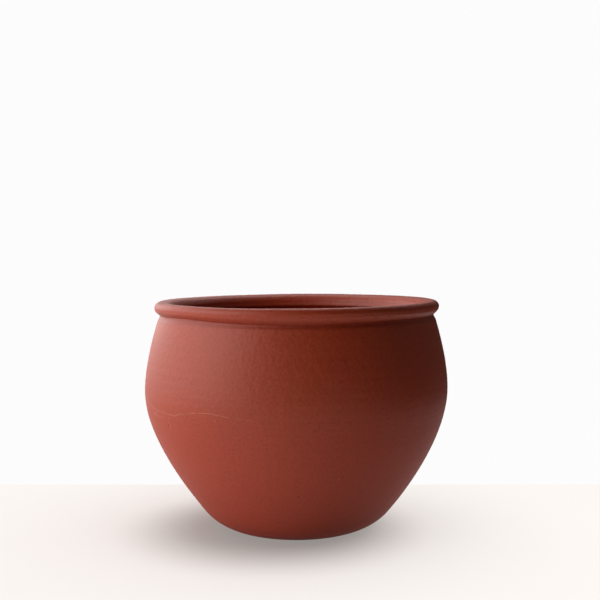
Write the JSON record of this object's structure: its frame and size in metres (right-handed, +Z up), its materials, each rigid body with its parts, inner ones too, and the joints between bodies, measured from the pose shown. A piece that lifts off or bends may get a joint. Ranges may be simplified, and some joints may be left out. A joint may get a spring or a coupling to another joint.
{
  "type": "terracotta water jar",
  "caption": "Wide-mouthed round terracotta water jar with a rolled rim, a groove under it, a full belly and a small flat foot.",
  "frame": {"origin": "middle of the flat underside that the jar stands on", "axes": "+Z up along the jar's axis of turning, out through the mouth; X and Y are alike"},
  "size_m": [0.2999, 0.3, 0.2252],
  "materials": {
    "terracotta": "matt unglazed fired clay with a fine grain",
    "fired_slip": "matt, slightly paler than the clay"
  },
  "bodies": {
    "root": {"base_slab": "terracotta", "base_slip": "fired_slip", "lower_bowl": "terracotta", "belly_slip": "fired_slip", "upper_wall": "terracotta", "rim_slip": "fired_slip", "rim_coil": "terracotta"}
  },
  "joints": []
}
